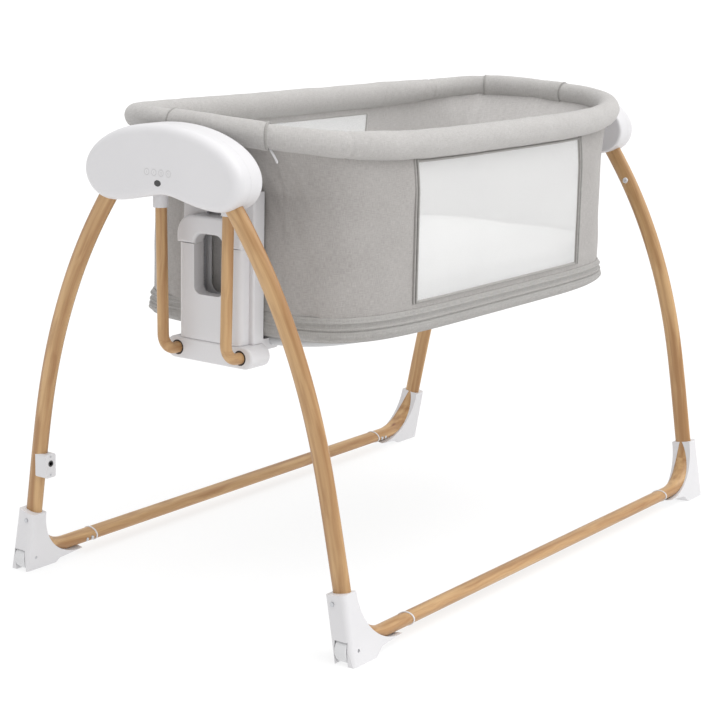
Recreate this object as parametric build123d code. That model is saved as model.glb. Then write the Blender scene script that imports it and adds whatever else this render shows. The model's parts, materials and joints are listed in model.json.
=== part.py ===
from build123d import *
import math
import os

# Baby swing: a bassinet that hangs between two arched leg frames and swings sideways.
# Millimetres. X is the long axis (motor end at -X), Y the swing direction, Z up, floor at Z = 0.
# Both ends share one design, made at +X and mirrored; "out" is the distance from the middle along X.

# ---- driving dimensions ----
GAUGE = 700.0                    # between the floor rails, centre to centre
TUBE_WIDE, TUBE_THIN, TUBE_WALL = 32.0, 21.0, 1.2
RAIL_HEIGHT = 26.0               # rail centre above the floor
LEG_PLANE = 580.0                # leg plane at the floor, from the middle
LEG_LEAN = 0.032                 # outward lean of the leg plane per unit of height
LEG_SPREAD = 0.18                # sideways slope of the leg where its corner bend starts
LEG_TOP = 704.0
CORNER_RADIUS = 90.0
COLLAR = {"motor": 429.0, "far": 457.0}
NECK_LENGTH = 34.0
HOUSING_OUT, HOUSING_SPLIT, HOUSING_IN = 632.0, 602.0, 572.0
HOUSING_WALL = 3.0
HOUSING_BEVEL = 17.0
PIVOT_HEIGHT = 735.0
PIVOT_RADIUS = 8.0
BEARING_RADIUS = 14.0
YOKE_IN, YOKE_OUT = 534.0, 566.0
YOKE_HALF, YOKE_LOW, YOKE_TOP = 113.0, 692.0, 770.0
ROD_OUT, ROD_RADIUS = 545.0, 9.5
ROD_SIDE_TOP, ROD_SIDE_LOW = 72.0, 66.5
CROSSBAR_HALF, CROSSBAR_LOW, CROSSBAR_TOP = 92.0, 409.0, 446.0
CROSSBAR_IN, COLUMN_FACE = 464.0, 510.0
COLUMN_LOW = 446.5
COLUMN_HALF = 66.0
SEAM_HEIGHT = 604.0              # top of the column panel, where the release handle starts
WINDOW_HALF, WINDOW_LOW, WINDOW_TOP = 31.0, 522.0, 622.0
HANDLE_TOP = 652.0
BRACKET_IN, BRACKET_OUT, BRACKET_HALF, BRACKET_TOP = 460.0, 486.0, 75.0, 695.0
RIM_HALF_LENGTH, RIM_HALF_WIDTH, RIM_SQUARENESS = 540.0, 244.0, 3.6
RIM_HEIGHT, RIM_RISE = 779.0, 22.0
RIM_TUBE_RADIUS, PADDING_RADIUS = 8.0, 25.0
WALL_LENGTH, WALL_WIDTH, WALL_SQUARENESS, WALL = 455.0, 250.0, 5.0, 2.5
WALL_LOW, WALL_SHOULDER, WALL_TOP = 452.0, 690.0, 750.0
MESH_HALF, MESH_LOW, MESH_TOP = 262.0, 512.0, 738.0
BAND_TOP = 494.0
BASE_TUBE_RADIUS, BASE_TUBE_HEIGHT = 8.0, 447.0
BASE_TUBE_LENGTH, BASE_TUBE_WIDTH, BASE_TUBE_SQUARENESS = 436.0, 188.0, 4.0
BOARD_LOW, BOARD_THICK, MATTRESS_TOP = 455.3, 4.0, 545.0
WHEEL_RADIUS, WHEEL_WIDTH, WHEEL_OUT, WHEEL_LIFT = 22.5, 22.0, 585.5, 0.8
FOOT_HALF = 19.5
AXLE_RADIUS = 3.0
PAD_SIDES = (22.5, 7.5, -7.5, -22.5)
PAD_HEIGHT, PAD_RADIUS = 733.0, 5.5
RELEASE_TRAVEL = 10.0
INLET_TURN = 5.0                 # degrees
GAP = 0.3

OUTER, INNER = (TUBE_WIDE / 2, TUBE_THIN / 2), (TUBE_WIDE / 2 - TUBE_WALL, TUBE_THIN / 2 - TUBE_WALL)
NECK = (INNER[0] - 0.2, INNER[1] - 0.2)
NECK_BORE = (NECK[0] - TUBE_WALL, NECK[1] - TUBE_WALL)
HALF_GAUGE = GAUGE / 2


def save(node, solids):
    """Write one node; several solids become one group."""
    solids = list(solids) if isinstance(solids, (list, tuple)) else [solids]
    shape = solids[0] if len(solids) == 1 else Compound(children=solids)
    shape.label = node
    export_step(shape, f"parts/{node}.step")


def flip_end(shape):
    return mirror(shape, about=Plane.YZ)


def flip_side(shape):
    return mirror(shape, about=Plane.XZ)


def block(x0, x1, y0, y1, z0, z1):
    """A box from its lowest to its highest corner."""
    return Pos(x0, y0, z0) * Box(x1 - x0, y1 - y0, z1 - z0, align=(Align.MIN, Align.MIN, Align.MIN))


def rod_along(start, direction, length, radius):
    """A round bar from a start point along a direction."""
    return extrude(Plane(origin=start, z_dir=direction) * Circle(radius), length)


def side_extrude(face_sketch, out0, out1):
    """Extrude a sketch drawn in (Y, Z) from out0 to out1 along X."""
    return extrude(Plane.YZ.offset(out0) * face_sketch, out1 - out0)


# ---- stand tubes ----

def leg_offset(height):
    """Distance of the leg's centreline from the middle plane, an outward-bowed cubic of height."""
    u = (height - 450.0) / 1000.0
    return 1000.0 * (0.256 - 0.367 * u - 0.591 * u ** 2 - 0.494 * u ** 3)


def leg_point(height):
    return Vector(LEG_PLANE + LEG_LEAN * height, leg_offset(height), height)


def leg_path(collar, top=LEG_TOP):
    """Centreline from the collar along the floor, round the corner bend and up the arched leg."""
    corner = Vector(LEG_PLANE + LEG_LEAN * RAIL_HEIGHT, HALF_GAUGE, RAIL_HEIGHT)
    up = Vector(LEG_LEAN, -LEG_SPREAD, 1).normalized()
    out = Vector(1, 0, 0)
    turn = math.radians(out.get_angle(up))
    reach = CORNER_RADIUS * math.tan(turn / 2)
    bend_start, bend_end = corner - out * reach, corner + up * reach
    stub = Line(Vector(collar, HALF_GAUGE, RAIL_HEIGHT), bend_start)
    bend = TangentArc(bend_start, bend_end, tangent=out)
    heights = [210.0, 330.0, 450.0, 560.0, 640.0, top]
    points = [bend_end] + [leg_point(h) for h in heights]
    end_tangent = leg_point(top) - leg_point(top - 1.0)
    leg = Spline(points, tangents=[up, end_tangent.normalized()])
    return stub + bend + leg


def tube_plane(collar):
    """Section plane at the floor end of the tube, with the oval's long axis across the bend."""
    return Plane(origin=(collar, HALF_GAUGE, RAIL_HEIGHT), x_dir=(0, 1, LEG_SPREAD), z_dir=(1, 0, 0))


def leg_sweep(collar, half_axes):
    return sweep(tube_plane(collar) * Ellipse(*half_axes), path=leg_path(collar))


def leg_tube(collar):
    tube = leg_sweep(collar + 1.5, OUTER) - leg_sweep(collar + 1.5, INNER)
    return tube - snap_bore(collar, 3.9) - rail_screw_bore(collar)


def inward():
    """Unit vector from the +Y rail's centre through its inner side."""
    return Vector(0, -1, -LEG_SPREAD).normalized()


def snap_bore(collar, radius):
    start = Vector(collar + 12, HALF_GAUGE, RAIL_HEIGHT) + inward() * 10
    return rod_along(start, inward(), 10, radius)


def rail_screw_bore(collar):
    start = Vector(collar + 25, HALF_GAUGE, RAIL_HEIGHT) + inward() * 11
    return rod_along(start, inward(), 10, 2.0)


def snap_button(collar):
    """Spring button: a round stud through both tube walls, with a flange that stops it inside."""
    centre = Vector(collar + 12, HALF_GAUGE, RAIL_HEIGHT)
    stud = rod_along(centre + inward() * 8.4, inward(), TUBE_WIDE / 2 + 1.4 - 8.4, 3.6)
    flange = rod_along(centre + inward() * 8.2, inward(), 2.1, 4.5)
    return stud + flange


def rail_screw(collar):
    centre = Vector(collar + 25, HALF_GAUGE, RAIL_HEIGHT)
    seat = TUBE_WIDE / 2 + 0.02
    shank = rod_along(centre + inward() * 12, inward(), seat - 12, 1.9)
    head = rod_along(centre + inward() * seat, inward(), 1.2, 3.2)
    return shank + head


def rail_tube():
    """Floor rail with a swaged neck at each end that plugs into the leg tubes."""
    start, end = -(COLLAR["motor"] - 1.5), COLLAR["far"] - 1.5
    plane = Plane(origin=(start, HALF_GAUGE, RAIL_HEIGHT), x_dir=(0, 1, LEG_SPREAD), z_dir=(1, 0, 0))
    length = end - start
    body = extrude(plane * Ellipse(*OUTER), length)
    neck = extrude(plane.offset(-NECK_LENGTH) * Ellipse(*NECK), length + 2 * NECK_LENGTH)
    bore = extrude(plane.offset(-NECK_LENGTH) * Ellipse(*NECK_BORE), length + 2 * NECK_LENGTH)
    rail = body + neck - bore
    for end_name, flip in (("motor", flip_end), ("far", None)):
        for cutter in (snap_bore(COLLAR[end_name], 3.9), rail_screw_bore(COLLAR[end_name])):
            rail = rail - (flip(cutter) if flip else cutter)
    return rail


def rail_collar(collar):
    """Oval ring in the joint between rail and leg tube."""
    plane = Plane(origin=(collar - 1.5, HALF_GAUGE, RAIL_HEIGHT), x_dir=(0, 1, LEG_SPREAD), z_dir=(1, 0, 0))
    outside = extrude(plane * Ellipse(OUTER[0] + 1.2, OUTER[1] + 1.2), 3.0)
    return outside - extrude(plane * Ellipse(NECK[0] + 0.1, NECK[1] + 0.1), 3.0)


# ---- feet ----

def foot_profile():
    """Side outline of a foot cover in the leg's own leaning plane: (out, height)."""
    tip, heel_top, crown = (468, 15), (573, 112), (605, 112)
    inner_edge = ThreePointArc(tip, (545.5, 44), heel_top)
    rest = Polyline(heel_top, crown, (605.5, 24), (602, -6), (546, -6), (524, 10), tip)
    return make_face(inner_edge + rest)


def foot_cover(collar, with_wheel):
    """Cover that wraps the outside of the corner bend and stands on the floor."""
    lean = Plane(origin=(0, HALF_GAUGE, RAIL_HEIGHT), x_dir=(1, 0, 0), z_dir=(0, -1, -LEG_SPREAD))
    outline = Pos(0, -RAIL_HEIGHT) * foot_profile()
    cover = extrude(lean * outline, FOOT_HALF, both=True)
    outer_edges = cover.edges().filter_by(lambda e: e.center().X > 600 and e.length > 60)
    cover = fillet(outer_edges, 9)
    cover = cover & block(440, 640, 250, 450, 0, 160)
    cover = cover - leg_sweep(collar, (OUTER[0] + 0.1, OUTER[1] + 0.1))
    if with_wheel:
        wheel_well = wheel_cylinder(WHEEL_RADIUS + 3, WHEEL_WIDTH / 2 + 1.2)
        cover = cover - wheel_well - wheel_cylinder(AXLE_RADIUS + 0.03, FOOT_HALF + 4)
        cover = cover - block(WHEEL_OUT, 640, HALF_GAUGE - WHEEL_WIDTH / 2 - 1.2,
                              HALF_GAUGE + WHEEL_WIDTH / 2 + 1.2, 0, WHEEL_RADIUS)
    return cover - foot_screw_bore()


def wheel_cylinder(radius, half_width):
    start = (WHEEL_OUT, HALF_GAUGE - half_width, WHEEL_RADIUS + WHEEL_LIFT)
    return rod_along(start, (0, 1, 0), 2 * half_width, radius)


def foot_screw_bore():
    return rod_along((590, leg_offset(98) - 1, 96), (1, 0, 0), 30, 1.9)


def foot_screw():
    """Screw near the top of a foot cover, driven inwards into the leg."""
    shank = rod_along((596, leg_offset(98) - 1, 96), (1, 0, 0), 9.3, 1.9)
    head = rod_along((605.3, leg_offset(98) - 1, 96), (1, 0, 0), 1.6, 3.6)
    return shank + head


def wheel():
    """Plain roller with a rounded tread and a shallow hub recess on both faces."""
    roller = fillet(wheel_cylinder(WHEEL_RADIUS, WHEEL_WIDTH / 2).edges(), 2.2)
    recess = wheel_cylinder(14, WHEEL_WIDTH / 2) - wheel_cylinder(14, WHEEL_WIDTH / 2 - 2) - \
        wheel_cylinder(6.5, WHEEL_WIDTH / 2)
    return roller - recess - wheel_cylinder(AXLE_RADIUS + 0.05, WHEEL_WIDTH)


# ---- end housings ----

def bean(inset):
    """Kidney outline in (Y, Z): an elliptical crown, two round lobes and a hollow underside."""
    centre_z, crown_wide, crown_high = 727.0, 163.0 - inset, 81.0 - inset
    lobe_y, lobe_wide, lobe_high = 110.0, 53.0 - inset, 47.0 - inset
    top = EllipticalCenterArc((0, centre_z), crown_wide, crown_high, 0, arc_size=180)
    right = EllipticalCenterArc((lobe_y, centre_z), lobe_wide, lobe_high, 270, arc_size=90)
    left = EllipticalCenterArc((-lobe_y, centre_z), lobe_wide, lobe_high, 180, arc_size=90)
    low = centre_z - lobe_high
    under = Spline([(-lobe_y, low), (0, 697 + inset), (lobe_y, low)], tangents=[(1, 0), (1, 0)])
    return make_face(top + right + left + under)


def housing_shape(inset, out0, out1, bevel):
    solid = side_extrude(bean(inset), out0, out1)
    return fillet(solid.faces().sort_by(Axis.X)[-1].edges(), bevel)


def both_legs(collar):
    leg = leg_sweep(collar, (OUTER[0] + 0.15, OUTER[1] + 0.15))
    return leg + flip_side(leg)


def housing_outer(collar, controls):
    """Outer shell of an end housing; the motor end has holes for its pads and receiver window."""
    shell = housing_shape(0, HOUSING_SPLIT, HOUSING_OUT, HOUSING_BEVEL)
    shell = shell - housing_shape(HOUSING_WALL, HOUSING_SPLIT, HOUSING_OUT - HOUSING_WALL,
                                  HOUSING_BEVEL - HOUSING_WALL)
    shell = shell - both_legs(collar)
    if controls:
        for side in PAD_SIDES:
            shell = shell - rod_along((620, side, PAD_HEIGHT), (1, 0, 0), 20, PAD_RADIUS + 0.2)
        shell = shell - side_extrude(receiver_oval(0.0), 620, 640)
    return shell


def receiver_oval(grow):
    return Pos(0, 716.5) * Ellipse(7.0 + grow, 5.0 + grow)


def housing_inner(collar):
    """Inner shell of an end housing, carrying the pivot shaft."""
    shell = side_extrude(bean(0), HOUSING_IN, HOUSING_SPLIT - 0.2)
    shell = fillet(shell.faces().sort_by(Axis.X)[0].edges(), 5)
    shell = shell - side_extrude(bean(HOUSING_WALL), HOUSING_IN + HOUSING_WALL, HOUSING_SPLIT)
    shell = shell - both_legs(collar)
    shell = shell - rod_along((560, 0, PIVOT_HEIGHT), (1, 0, 0), 30, PIVOT_RADIUS + 0.1)
    for side in (-131, 131):
        shell = shell - rod_along((560, side, 737), (1, 0, 0), 30, 2.6)
    return shell


def pivot_shaft():
    """Fixed shaft with a flange inside the housing; the yoke's bearing turns on it."""
    start = (YOKE_IN + 4, 0, PIVOT_HEIGHT)
    flange = rod_along((HOUSING_IN + HOUSING_WALL, 0, PIVOT_HEIGHT), (1, 0, 0), 4, 13)
    return rod_along(start, (1, 0, 0), 52, PIVOT_RADIUS) + flange


def housing_screws():
    screws = []
    for side in (-131, 131):
        screws.append(rod_along((HOUSING_IN - 0.6, side, 737), (1, 0, 0), 12, 2.5))
    return screws


def bolt_caps():
    """White snap caps on the housing's inner face, over the leg bolts."""
    caps = []
    for side in (-112, 112):
        disc = rod_along((HOUSING_IN - 1.8, side, 712), (1, 0, 0), 1.8, 9)
        groove = rod_along((HOUSING_IN - 1.8, side, 712), (1, 0, 0), 0.8, 5)
        caps.append(disc - groove)
    return caps


def drive_coils():
    """Electromagnet coils on the inner shell, one each side of the shaft."""
    coils = []
    for side in (-60, 60):
        start = (HOUSING_IN + HOUSING_WALL, side, 716)
        coils.append(rod_along(start, (1, 0, 0), 14, 14) - rod_along(start, (1, 0, 0), 14, 5))
    return coils


def swing_magnets():
    magnets = []
    for side in (-60, 60):
        magnets.append(rod_along((YOKE_OUT - 6, side, 716), (1, 0, 0), 6, 9))
    return magnets


def control_board():
    board = block(616, 617.6, -48, 48, 706, 762)
    for side in PAD_SIDES:
        board = board + block(617.6, 621.5, side - 3, side + 3, PAD_HEIGHT - 3, PAD_HEIGHT + 3)
    board = board + block(617.6, 624.0, -5, 5, 713, 720)
    return board


def control_pad(side):
    """Push pad, flush with the housing, with a flange that holds it in."""
    face = rod_along((HOUSING_OUT - 4.2, side, PAD_HEIGHT), (1, 0, 0), 4.2, PAD_RADIUS)
    flange = rod_along((HOUSING_OUT - 6.0, side, PAD_HEIGHT), (1, 0, 0), 1.9, PAD_RADIUS + 1.2)
    return face + flange


def receiver_window():
    return side_extrude(receiver_oval(-0.05), HOUSING_OUT - 5, HOUSING_OUT)


# ---- power socket on a leg ----

def socket_box(collar):
    """Small socket box clipped to the inner side of a leg."""
    side, height = leg_offset(198) - TUBE_WIDE / 2, 198.0
    out = LEG_PLANE + LEG_LEAN * height
    box = block(out - 12, out + 12, side - 13, side + 12, height - 21, height + 21)
    box = fillet(box.edges().filter_by(Axis.Y), 4)
    box = box - leg_sweep(collar, (OUTER[0] + 0.1, OUTER[1] + 0.1))
    return box - inlet_bar(-2, 12.6, 5.5)


def inlet_bar(start, length, radius):
    """Round bar on the inlet's axis, which is turned a little outwards to clear the other leg."""
    out = LEG_PLANE + LEG_LEAN * 198.0
    mouth = Vector(out, leg_offset(198) - TUBE_WIDE / 2 - 13.6, 202.0)
    turn = math.radians(INLET_TURN)
    into_box = Vector(-math.sin(turn), math.cos(turn), 0)
    return rod_along(mouth + into_box * start, into_box, length, radius)


def socket_inlet():
    """Round low-voltage inlet: a black sleeve with a blind bore."""
    return inlet_bar(0, 10.4, 5.4) - inlet_bar(0, 9.0, 3.2)


def socket_screws():
    side = leg_offset(198) - TUBE_WIDE / 2
    out = LEG_PLANE + LEG_LEAN * 198.0
    return [rod_along((out, side - 13.8, 198 + rise), (0, 1, 0), 0.8, 1.8) for rise in (-16, 16)]


# ---- swinging hanger ----

def yoke():
    """Hanger head: a hollow round-cornered shell with a bearing boss and two rod sockets."""
    height = YOKE_TOP - YOKE_LOW
    middle = (YOKE_TOP + YOKE_LOW) / 2
    shell = side_extrude(Pos(0, middle) * RectangleRounded(2 * YOKE_HALF, height, 36), YOKE_IN, YOKE_OUT)
    shell = fillet(shell.faces().sort_by(Axis.X)[-1].edges(), 8)
    pocket = Pos(0, middle) * RectangleRounded(2 * YOKE_HALF - 7, height - 7, 32)
    shell = shell - side_extrude(pocket, YOKE_IN, YOKE_OUT - 6)
    boss = rod_along((YOKE_IN + 2, 0, PIVOT_HEIGHT), (1, 0, 0), YOKE_OUT - YOKE_IN - 3, BEARING_RADIUS + 4)
    shell = shell + boss
    for side in (-ROD_SIDE_TOP, ROD_SIDE_TOP):
        shell = shell + rod_along((ROD_OUT, side, 664), (0, 0, 1), 92, 12.5)
    shell = shell - rod_along((YOKE_IN - 4, 0, PIVOT_HEIGHT), (1, 0, 0), 40, PIVOT_RADIUS + 1)
    shell = shell - rod_along((YOKE_IN + 8, 0, PIVOT_HEIGHT), (1, 0, 0), 40, BEARING_RADIUS)
    rods = rod_envelope(ROD_RADIUS + 0.02)
    shell = shell - rods - flip_side(rods)
    for magnet in swing_magnets():
        shell = shell - magnet
    return shell


def bearing():
    start = (YOKE_IN + 8, 0, PIVOT_HEIGHT)
    return rod_along(start, (1, 0, 0), 20, BEARING_RADIUS) - \
        rod_along(start, (1, 0, 0), 20, PIVOT_RADIUS + 0.05)


def rod_path():
    """Down from the yoke, then bent inwards into the crossbar."""
    bar_height = (CROSSBAR_LOW + CROSSBAR_TOP) / 2
    top = (ROD_OUT, ROD_SIDE_TOP, 744)
    corner = (ROD_OUT, ROD_SIDE_LOW, bar_height)
    end = (483, ROD_SIDE_LOW, bar_height)
    return FilletPolyline(top, corner, end, radius=28)


def rod_envelope(radius):
    path = rod_path()
    plane = Plane(origin=path @ 0, z_dir=path % 0)
    return sweep(plane * Circle(radius), path=path)


def swing_rod():
    return rod_envelope(ROD_RADIUS) - rod_envelope(ROD_RADIUS - 1.5)


def crossbar():
    """Round-ended bar that takes both rods and carries the guide posts."""
    middle, height = (CROSSBAR_LOW + CROSSBAR_TOP) / 2, CROSSBAR_TOP - CROSSBAR_LOW
    pill = Pos(0, middle) * SlotOverall(2 * CROSSBAR_HALF, height)
    bar = fillet(side_extrude(pill, CROSSBAR_IN, COLUMN_FACE).faces().sort_by(Axis.X)[-1].edges(), 4)
    rods = rod_envelope(ROD_RADIUS + 0.02)
    for cutter in (rods, flip_side(rods)):
        bar = bar - cutter
    for side in (-ROD_SIDE_LOW, ROD_SIDE_LOW):
        bar = bar - rod_along((COLUMN_FACE - 4, side, middle), (1, 0, 0), 10, ROD_RADIUS + 3)
    for post in guide_posts():
        bar = bar - post
    return bar


def grommets():
    middle = (CROSSBAR_LOW + CROSSBAR_TOP) / 2
    rings = []
    for side in (-ROD_SIDE_LOW, ROD_SIDE_LOW):
        start = (COLUMN_FACE - 4, side, middle)
        ring = rod_along(start, (1, 0, 0), 3.4, ROD_RADIUS + 3)
        rings.append(ring - rod_along(start, (1, 0, 0), 3.4, ROD_RADIUS + 0.02))
    return rings


def guide_posts():
    """Two flat posts that stand in the crossbar inside the sliding bracket."""
    return [block(466.5, 479.5, side - 10, side + 10, 430, 640) for side in (-52, 52)]


# ---- height-adjusting bracket, panel and release handle ----

def end_bracket():
    """Channel that slides on the guide posts, with two arms up to the rim tube."""
    channel = block(BRACKET_IN, BRACKET_OUT, -BRACKET_HALF, BRACKET_HALF, COLUMN_LOW, BRACKET_TOP)
    channel = fillet(channel.edges().filter_by(Axis.Z).sort_by(Axis.X)[-2:], 4)
    inside = block(BRACKET_IN + 3, BRACKET_OUT - 3, -BRACKET_HALF + 3, BRACKET_HALF - 3,
                   COLUMN_LOW - 1, BRACKET_TOP - 6)
    channel = channel - inside - side_extrude(window_outline(4), BRACKET_IN - 5, BRACKET_OUT + 5)
    notch = Pos(0, 692) * SlotOverall(106, 54, rotation=90)
    channel = channel - side_extrude(notch, BRACKET_IN + 4, BRACKET_OUT + 5)
    for side in (-40, 40):
        channel = channel + Pos(0, side, 0) * rim_arm(20, 7)
    return channel


def rim_arm(width, thickness):
    """Flat arm from the bracket's top out to the rim tube."""
    path = FilletPolyline((470, 0, 680), (470, 0, 694), (521, 0, 766), (535, 0, 792), radius=14)
    plane = Plane(origin=path @ 0, x_dir=(0, 1, 0), z_dir=path % 0)
    return sweep(plane * Rectangle(width, thickness), path=path)


def window_outline(grow):
    """Rounded finger window through column and bracket, in (Y, Z)."""
    height = WINDOW_TOP - WINDOW_LOW + 2 * grow
    middle = (WINDOW_TOP + WINDOW_LOW) / 2
    return Pos(0, middle) * RectangleRounded(2 * (WINDOW_HALF + grow), height, 14 + grow)


def column_panel():
    """Front panel of the column with deep, round edges and pockets for the handle's prongs."""
    outline = Pos(0, (COLUMN_LOW + SEAM_HEIGHT) / 2) * Rectangle(2 * COLUMN_HALF, SEAM_HEIGHT - COLUMN_LOW)
    panel = side_extrude(outline, BRACKET_OUT, COLUMN_FACE)
    front_sides = panel.edges().filter_by(Axis.Z).sort_by(Axis.X)[-2:]
    panel = fillet(front_sides, 12) - side_extrude(window_outline(0), 480, 520)
    panel = panel - block(BRACKET_OUT, COLUMN_FACE - 3.5, -50, 50, COLUMN_LOW + 4, WINDOW_LOW - 5)
    for side in (-48, 48):
        panel = panel - block(BRACKET_OUT + 3, COLUMN_FACE - 7, side - 10, side + 10, 540, SEAM_HEIGHT)
    return panel


def release_handle():
    """Arched grip over the window, pulled up to free the height lock."""
    low, top = SEAM_HEIGHT + 0.5, HANDLE_TOP
    outline = Pos(0, (low + top) / 2) * Rectangle(2 * (COLUMN_HALF + 1.5), top - low)
    outline = fillet(outline.vertices().group_by(Axis.Y)[-1], 34)
    opening = Pos(0, low - 10) * Rectangle(2 * (WINDOW_HALF - 1), 2 * (WINDOW_TOP - low + 10))
    opening = fillet(opening.vertices().group_by(Axis.Y)[-1], 17)
    grip = side_extrude(outline - opening, BRACKET_OUT + 2.5, COLUMN_FACE + 2)
    grip = fillet(grip.faces().sort_by(Axis.X)[-1].edges(), 5)
    for side in (-48, 48):
        grip = grip + block(BRACKET_OUT + 4, COLUMN_FACE - 8, side - 8, side + 8, 570, low + 4)
    return grip


# ---- bassinet ----

def squircle_point(length, width, squareness, angle, height_at):
    """Point of a superellipse at a polar angle; its height follows how near it is to an end."""
    c, s = math.cos(angle), math.sin(angle)
    reach = (abs(c) ** squareness + abs(s) ** squareness) ** (-1 / squareness)
    return Vector(length * reach * c, width * reach * s, height_at(abs(reach * c)))


def level(height):
    return lambda end: height


def squircle(length, width, squareness, height, count=40):
    """Closed flat superellipse curve."""
    angles = [2 * math.pi * i / count for i in range(count)]
    return Spline([squircle_point(length, width, squareness, a, level(height)) for a in angles],
                  periodic=True)


def ring_tube(length, width, squareness, height_at, radius):
    """Tube round a superellipse: one quarter lofted through circles, mirrored to close the ring."""
    angles = [math.pi / 2 * i / 10 for i in range(11)]
    circles = []
    for angle in angles:
        before, centre, after = [squircle_point(length, width, squareness, a, height_at)
                                 for a in (angle - 0.02, angle, angle + 0.02)]
        along = (after - before).normalized()
        if angle == angles[0]:
            along = Vector(0, 1, 0)
        if angle == angles[-1]:
            along = Vector(-1, 0, 0)
        side = along.cross(Vector(0, 0, 1)).normalized()
        circles.append(Plane(origin=centre, x_dir=side, z_dir=along) * Circle(radius))
    quarter = loft(circles)
    half = quarter + flip_end(quarter)
    return half + flip_side(half)


def rim_ring(radius):
    """Ring along the rim, which rises towards both ends."""
    return ring_tube(RIM_HALF_LENGTH, RIM_HALF_WIDTH, RIM_SQUARENESS,
                      lambda end: RIM_HEIGHT + RIM_RISE * end ** 4, radius)


def rim_padding():
    """Padded sleeve round the rim tube, slotted where the bracket arms come through."""
    padding = rim_ring(PADDING_RADIUS) - rim_ring(RIM_TUBE_RADIUS + GAP)
    for side in (-40, 40):
        slot = Pos(0, side, 0) * rim_arm(21, 8)
        padding = padding - slot - flip_end(slot)
    return padding


def wall_face(height, length, width):
    return make_face(squircle(length, width, WALL_SQUARENESS, height))


def wall_body(inset):
    """Solid bassinet body between its floor and its flared top."""
    straight = extrude(wall_face(WALL_LOW, WALL_LENGTH - inset, WALL_WIDTH - inset), WALL_SHOULDER - WALL_LOW)
    flare = loft([wall_face(WALL_SHOULDER, WALL_LENGTH - inset, WALL_WIDTH - inset),
                  wall_face(WALL_TOP, WALL_LENGTH + 35 - inset, WALL_WIDTH - inset)], ruled=True)
    return straight + flare


def fabric_walls():
    """Fabric shell with a window opening in each long side."""
    walls = wall_body(0) - wall_body(WALL)
    band = extrude(wall_face(WALL_LOW, WALL_LENGTH + 3.5, WALL_WIDTH + 3.5), BAND_TOP - WALL_LOW)
    walls = walls + (band - wall_body(WALL / 2))
    return walls - block(-MESH_HALF, MESH_HALF, -300, 300, MESH_LOW, MESH_TOP)


def mesh_window():
    return block(-MESH_HALF + GAP, MESH_HALF - GAP, 246.5, 247.5, MESH_LOW + GAP, MESH_TOP - GAP)


def base_ring(radius):
    return ring_tube(BASE_TUBE_LENGTH, BASE_TUBE_WIDTH, BASE_TUBE_SQUARENESS,
                      level(BASE_TUBE_HEIGHT), radius)


def base_tube():
    return base_ring(BASE_TUBE_RADIUS) - base_ring(BASE_TUBE_RADIUS - 1.2)


def tube_clamps():
    """Plastic clamps that join the base tube to the end brackets."""
    clamps = []
    for side in (-62, 62):
        clamp = block(420, BRACKET_IN, side - 11, side + 11, 433, WALL_LOW - 0.4)
        clamp = fillet(clamp.edges().filter_by(Axis.Y), 4)
        clamps.append(clamp - base_ring(BASE_TUBE_RADIUS + 0.2))
    return clamps


def base_board():
    return extrude(wall_face(BOARD_LOW, WALL_LENGTH - WALL - 2, WALL_WIDTH - WALL - 2), BOARD_THICK)


def mattress():
    low = BOARD_LOW + BOARD_THICK + GAP
    pad = extrude(wall_face(low, WALL_LENGTH - 11, WALL_WIDTH - 11), MATTRESS_TOP - low)
    return fillet(pad.edges().group_by(Axis.Z)[-1], 10)


# ---- assembly ----

def main():
    os.makedirs("parts", exist_ok=True)
    for end, flip in (("motor", flip_end), ("far", lambda shape: shape)):
        collar = COLLAR[end]
        leg, cover, button = leg_tube(collar), foot_cover(collar, end == "motor"), snap_button(collar)
        for side, turn in (("back", lambda shape: shape), ("front", flip_side)):
            save(f"leg_tube_{end}_{side}", flip(turn(leg)))
            save(f"foot_cover_{end}_{side}", flip(turn(cover)))
            save(f"snap_button_{end}_{side}", flip(turn(button)))
        save(f"housing_{end}_outer_shell", flip(housing_outer(collar, end == "motor")))
        save(f"housing_{end}_inner_shell", flip(housing_inner(collar)))
        save(f"yoke_{end}", flip(yoke()))
        save(f"crossbar_{end}", flip(crossbar()))
        save(f"end_bracket_{end}", flip(end_bracket()))
        save(f"column_panel_{end}", flip(column_panel()))
        save(f"release_handle_{end}", flip(release_handle()))
        save(f"swing_rods_{end}", [flip(swing_rod()), flip(flip_side(swing_rod()))])
    for side, turn in (("back", lambda shape: shape), ("front", flip_side)):
        save(f"rail_tube_{side}", turn(rail_tube()))
        save(f"wheel_{side}", flip_end(turn(wheel())))
    small_hardware()
    motor_unit()
    bassinet()


def small_hardware():
    collars, screws, axles, pads = [], [], [], []
    for end, flip in (("motor", flip_end), ("far", lambda shape: shape)):
        for turn in (flip_side, lambda shape: shape):
            collars.append(flip(turn(rail_collar(COLLAR[end]))))
            screws.append(flip(turn(rail_screw(COLLAR[end]))))
            screws.append(flip(turn(foot_screw())))
    for turn in (flip_side, lambda shape: shape):
        axles.append(flip_end(turn(wheel_cylinder(AXLE_RADIUS, FOOT_HALF - 1))))
    save("rail_collars", collars)
    save("stand_screws", screws)
    save("wheel_axles", axles)
    save("housing_screws", [s for screw in housing_screws() for s in (screw, flip_end(screw))])
    save("bolt_caps", [c for cap in bolt_caps() for c in (cap, flip_end(cap))])
    save("pivot_shafts", [pivot_shaft(), flip_end(pivot_shaft())])
    save("pivot_bearings", [bearing(), flip_end(bearing())])
    save("rod_grommets", [g for ring in grommets() for g in (ring, flip_end(ring))])
    save("guide_posts", [p for post in guide_posts() for p in (post, flip_end(post))])


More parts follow.
